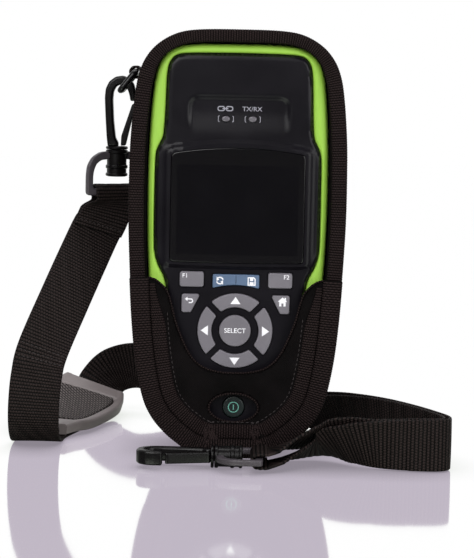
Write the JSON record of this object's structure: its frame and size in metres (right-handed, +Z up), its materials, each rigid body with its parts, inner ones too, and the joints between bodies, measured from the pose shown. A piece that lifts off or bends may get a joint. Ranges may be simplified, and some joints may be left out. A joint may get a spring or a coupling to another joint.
{
  "type": "network link tester in holster",
  "caption": "Handheld network link tester with green bumper, display and rubber keys, standing in a padded holster with a webbing shoulder strap, swivel snap hooks and shoulder pad.",
  "frame": {"origin": "centre of the holster base on the floor", "axes": "X to the right, Y away from the user, Z up; the display faces -Y"},
  "size_m": [0.2199, 0.1791, 0.21],
  "materials": {
    "shell_black": "fine grain moulded plastic",
    "bumper_green": "soft satin overmould",
    "window_clear": "clear acrylic lens",
    "display_dark": "unlit liquid crystal display",
    "board": "solder resist",
    "keypad_silicone": "silicone",
    "lens": "translucent light pipe",
    "battery_wrap": "shrink wrap",
    "screw_steel": "zinc plated",
    "jack_black": "moulded connector body",
    "cage_steel": "tin plated",
    "key_grey": "satin elastomer",
    "key_blue": "satin elastomer",
    "key_power": "satin elastomer",
    "padded_fabric": "laminated padded fabric",
    "ribbed_tape": "ribbed grosgrain tape",
    "webbing": "woven nylon webbing",
    "ring_black": "black finish",
    "hook_plastic": "moulded acetal",
    "loop_plastic": "moulded acetal",
    "pad_rubber": "soft moulded rim",
    "pad_foam": "closed cell foam",
    "pad_knit": "spacer mesh"
  },
  "bodies": {
    "tester_in_holster": {"front_shell": "shell_black", "back_shell": "shell_black", "battery_door": "shell_black", "bumper_band": "bumper_green", "display_window": "window_clear", "lcd_module": "display_dark", "main_board": "board", "keypad_mat": "keypad_silicone", "link_lens": "lens", "activity_lens": "lens", "battery_pack": "battery_wrap", "case_screws": "screw_steel", "lan_jack": "jack_black", "wiremap_jack": "jack_black", "power_jack": "jack_black", "fiber_cage": "cage_steel", "holster_sides": "padded_fabric", "holster_back": "padded_fabric", "pocket_front": "padded_fabric", "rim_binding": "ribbed_tape", "pocket_binding": "ribbed_tape", "belt_loop": "webbing", "ring_tab": "webbing", "strap_upper_fold": "webbing", "strap_left": "webbing", "strap_pad_run": "webbing", "strap_arch": "webbing", "strap_back_outer": "webbing", "strap_back_inner": "webbing", "strap_bend_outer": "webbing", "strap_bend_inner": "webbing", "strap_front_outer": "webbing", "strap_front_inner": "webbing", "strap_lower_fold": "webbing", "adjuster_slide": "hook_plastic", "upper_loop": "loop_plastic", "lower_loop": "loop_plastic", "pad_frame": "pad_rubber", "pad_cushion": "pad_foam", "pad_mesh": "pad_knit"},
    "f1_key_body": {"f1_key": "key_grey"},
    "f2_key_body": {"f2_key": "key_grey"},
    "quick_key_body": {"quick_key": "key_blue"},
    "back_key_body": {"back_key": "key_grey"},
    "home_key_body": {"home_key": "key_grey"},
    "up_key_body": {"up_key": "key_grey"},
    "down_key_body": {"down_key": "key_grey"},
    "left_key_body": {"left_key": "key_grey"},
    "right_key_body": {"right_key": "key_grey"},
    "select_key_body": {"select_key": "key_grey"},
    "power_key_body": {"power_key": "key_power"},
    "d_ring_body": {"d_ring": "ring_black"},
    "upper_hook_body": {"upper_hook": "hook_plastic"},
    "upper_gate_body": {"upper_gate": "hook_plastic"},
    "lower_hook_body": {"lower_hook": "hook_plastic"},
    "lower_gate_body": {"lower_gate": "hook_plastic"}
  },
  "joints": [
    {"name": "f1_key_press", "type": "slide", "parent": "tester_in_holster", "child": "f1_key_body", "axis": [0, 1, 0], "range_m": [0, 0.0008], "stiffness_N_per_m": 1500},
    {"name": "f2_key_press", "type": "slide", "parent": "tester_in_holster", "child": "f2_key_body", "axis": [0, 1, 0], "range_m": [0, 0.0008], "stiffness_N_per_m": 1500},
    {"name": "quick_key_rock", "type": "hinge", "parent": "tester_in_holster", "child": "quick_key_body", "pos_m": [0, -0.0181, 0.0869], "axis": [0, 0, 1], "range_deg": [-2, 2], "stiffness_Nm_per_rad": 0.4},
    {"name": "back_key_press", "type": "slide", "parent": "tester_in_holster", "child": "back_key_body", "axis": [0, 1, 0], "range_m": [0, 0.0008], "stiffness_N_per_m": 1500},
    {"name": "home_key_press", "type": "slide", "parent": "tester_in_holster", "child": "home_key_body", "axis": [0, 1, 0], "range_m": [0, 0.0008], "stiffness_N_per_m": 1500},
    {"name": "up_key_press", "type": "slide", "parent": "tester_in_holster", "child": "up_key_body", "axis": [0, 1, 0], "range_m": [0, 0.0008], "stiffness_N_per_m": 1500},
    {"name": "down_key_press", "type": "slide", "parent": "tester_in_holster", "child": "down_key_body", "axis": [0, 1, 0], "range_m": [0, 0.0008], "stiffness_N_per_m": 1500},
    {"name": "left_key_press", "type": "slide", "parent": "tester_in_holster", "child": "left_key_body", "axis": [0, 1, 0], "range_m": [0, 0.0008], "stiffness_N_per_m": 1500},
    {"name": "right_key_press", "type": "slide", "parent": "tester_in_holster", "child": "right_key_body", "axis": [0, 1, 0], "range_m": [0, 0.0008], "stiffness_N_per_m": 1500},
    {"name": "select_key_press", "type": "slide", "parent": "tester_in_holster", "child": "select_key_body", "axis": [0, 1, 0], "range_m": [0, 0.0008], "stiffness_N_per_m": 1500},
    {"name": "power_key_press", "type": "slide", "parent": "tester_in_holster", "child": "power_key_body", "axis": [0, 1, 0], "range_m": [0, 0.0008], "stiffness_N_per_m": 1500},
    {"name": "ring_swing", "type": "hinge", "parent": "tester_in_holster", "child": "d_ring_body", "pos_m": [-0.0526, 0.0165, 0.1882], "axis": [0, 1, 0], "range_deg": [-2, 2]},
    {"name": "upper_hook_swivel", "type": "hinge", "parent": "tester_in_holster", "child": "upper_hook_body", "pos_m": [-0.062, 0.021, 0.135], "axis": [0, 0, 1], "range_deg": [-10, 10]},
    {"name": "upper_gate_open", "type": "hinge", "parent": "upper_hook_body", "child": "upper_gate_body", "pos_m": [-0.0587, 0.021, 0.1516], "axis": [0, -1, 0], "range_deg": [0, 14], "stiffness_Nm_per_rad": 0.03},
    {"name": "lower_hook_swivel", "type": "hinge", "parent": "tester_in_holster", "child": "lower_hook_body", "pos_m": [0.005, -0.053, 0.00565], "axis": [-1, 0, 0], "continuous": true},
    {"name": "lower_gate_open", "type": "hinge", "parent": "lower_hook_body", "child": "lower_gate_body", "pos_m": [-0.0116, -0.0563, 0.00565], "axis": [0, 0, -1], "range_deg": [0, 14], "stiffness_Nm_per_rad": 0.03}
  ]
}
